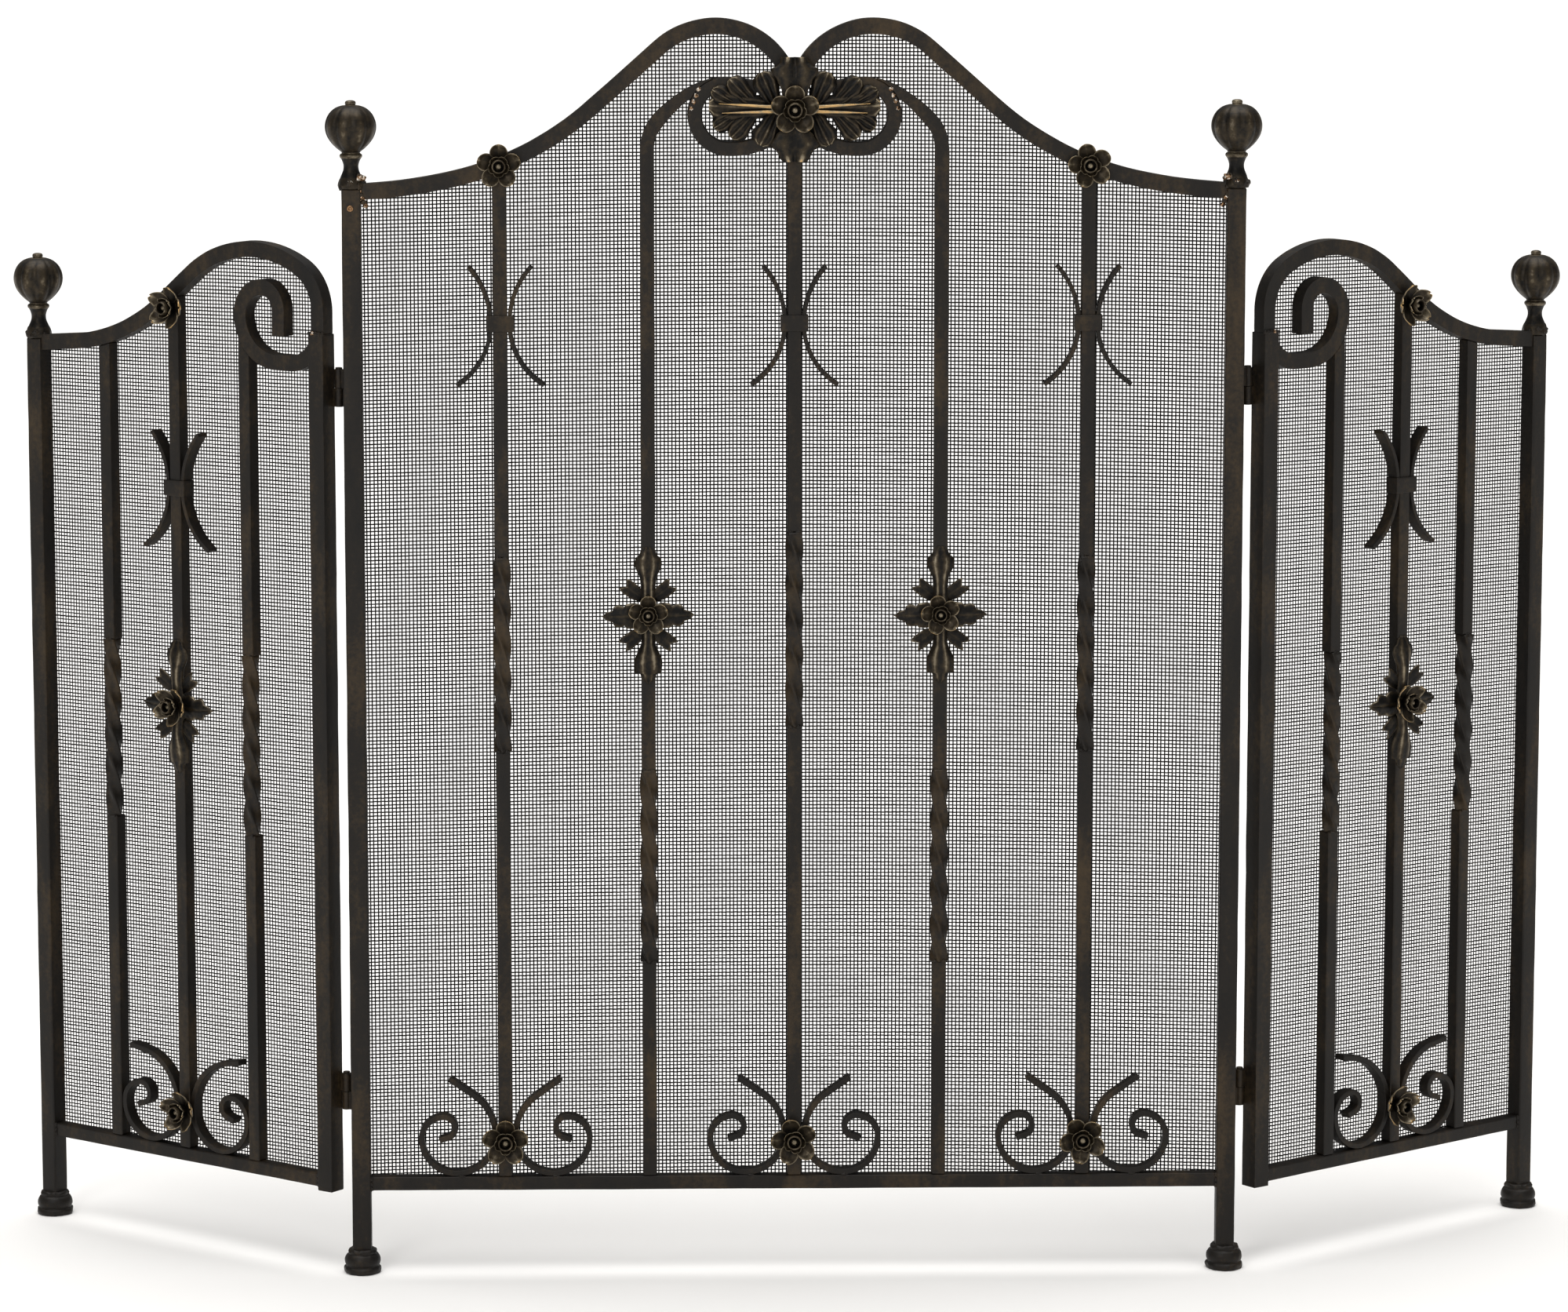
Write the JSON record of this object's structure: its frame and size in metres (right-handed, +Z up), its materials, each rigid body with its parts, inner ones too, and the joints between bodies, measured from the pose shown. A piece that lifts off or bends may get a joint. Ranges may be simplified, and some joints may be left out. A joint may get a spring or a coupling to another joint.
{
  "type": "fireplace screen",
  "caption": "Folding fireplace screen in forged iron: an arched centre panel with scrolls and leaves, narrower hinged wings, twisted bars, fine woven wire behind them, and turned feet.",
  "frame": {"origin": "on the floor, under the middle of the whole screen's box with the wings folded back", "axes": "+X to the right across the centre panel, +Y away from the room towards the fire, +Z up"},
  "size_m": [1.0692, 0.1958, 0.847],
  "materials": {
    "forged_bar": "dark brown-black forged iron, waxed, satin, rubbed lighter on faces",
    "twisted_bar": "dark brown-black forged iron, waxed, with rubbed ridges",
    "forged_ornament": "dark brown-black iron with golden-brown rubbed edges",
    "woven_wire": "near-black woven steel wire, satin",
    "hinge_steel": "dark brown-black, satin"
  },
  "bodies": {
    "centre_panel": {"base_flowers": "forged_ornament", "bottom_rail": "forged_bar", "centre_base_scrolls": "forged_bar", "centre_feet": "forged_bar", "centre_finials": "forged_ornament", "centre_lower_bars": "forged_bar", "centre_mesh": "woven_wire", "centre_twisted_bars": "twisted_bar", "centre_upper_bars": "forged_bar", "centre_x_collars": "forged_ornament", "centre_x_straps": "forged_ornament", "crest_acanthus": "forged_ornament", "crest_flower": "forged_ornament", "crest_leaf": "forged_ornament", "hinge_pins": "hinge_steel", "leaf_sprays": "forged_ornament", "left_bent_bar": "forged_bar", "left_crest_scroll": "forged_bar", "left_post": "forged_bar", "left_top_rail": "forged_bar", "post_knuckles": "hinge_steel", "rail_flowers": "forged_ornament", "right_bent_bar": "forged_bar", "right_crest_scroll": "forged_bar", "right_post": "forged_bar", "right_top_rail": "forged_bar", "spray_flowers": "forged_ornament"},
    "left_wing": {"left_wing_base_scrolls": "forged_bar", "left_wing_bottom_rail": "forged_bar", "left_wing_finial": "forged_ornament", "left_wing_flowers": "forged_ornament", "left_wing_foot": "forged_bar", "left_wing_inner_bar": "forged_bar", "left_wing_knuckles": "hinge_steel", "left_wing_leaf_spray": "forged_ornament", "left_wing_mesh": "woven_wire", "left_wing_middle_bar": "forged_bar", "left_wing_outer_bar": "forged_bar", "left_wing_post": "forged_bar", "left_wing_stile": "forged_bar", "left_wing_top_rail": "forged_bar", "left_wing_twisted_bars": "twisted_bar", "left_wing_x_ornament": "forged_ornament"},
    "right_wing": {"right_wing_base_scrolls": "forged_bar", "right_wing_bottom_rail": "forged_bar", "right_wing_finial": "forged_ornament", "right_wing_flowers": "forged_ornament", "right_wing_foot": "forged_bar", "right_wing_inner_bar": "forged_bar", "right_wing_knuckles": "hinge_steel", "right_wing_leaf_spray": "forged_ornament", "right_wing_mesh": "woven_wire", "right_wing_middle_bar": "forged_bar", "right_wing_outer_bar": "forged_bar", "right_wing_post": "forged_bar", "right_wing_stile": "forged_bar", "right_wing_top_rail": "forged_bar", "right_wing_twisted_bars": "twisted_bar", "right_wing_x_ornament": "forged_ornament"}
  },
  "joints": [
    {"name": "left_wing_hinge", "type": "hinge", "parent": "centre_panel", "child": "left_wing", "pos_m": [-0.30235, -0.07334, 0.363], "axis": [0, 0, -1], "range_deg": [-62, 138]},
    {"name": "right_wing_hinge", "type": "hinge", "parent": "centre_panel", "child": "right_wing", "pos_m": [0.30235, -0.07334, 0.363], "axis": [0, 0, 1], "range_deg": [-62, 138]}
  ]
}
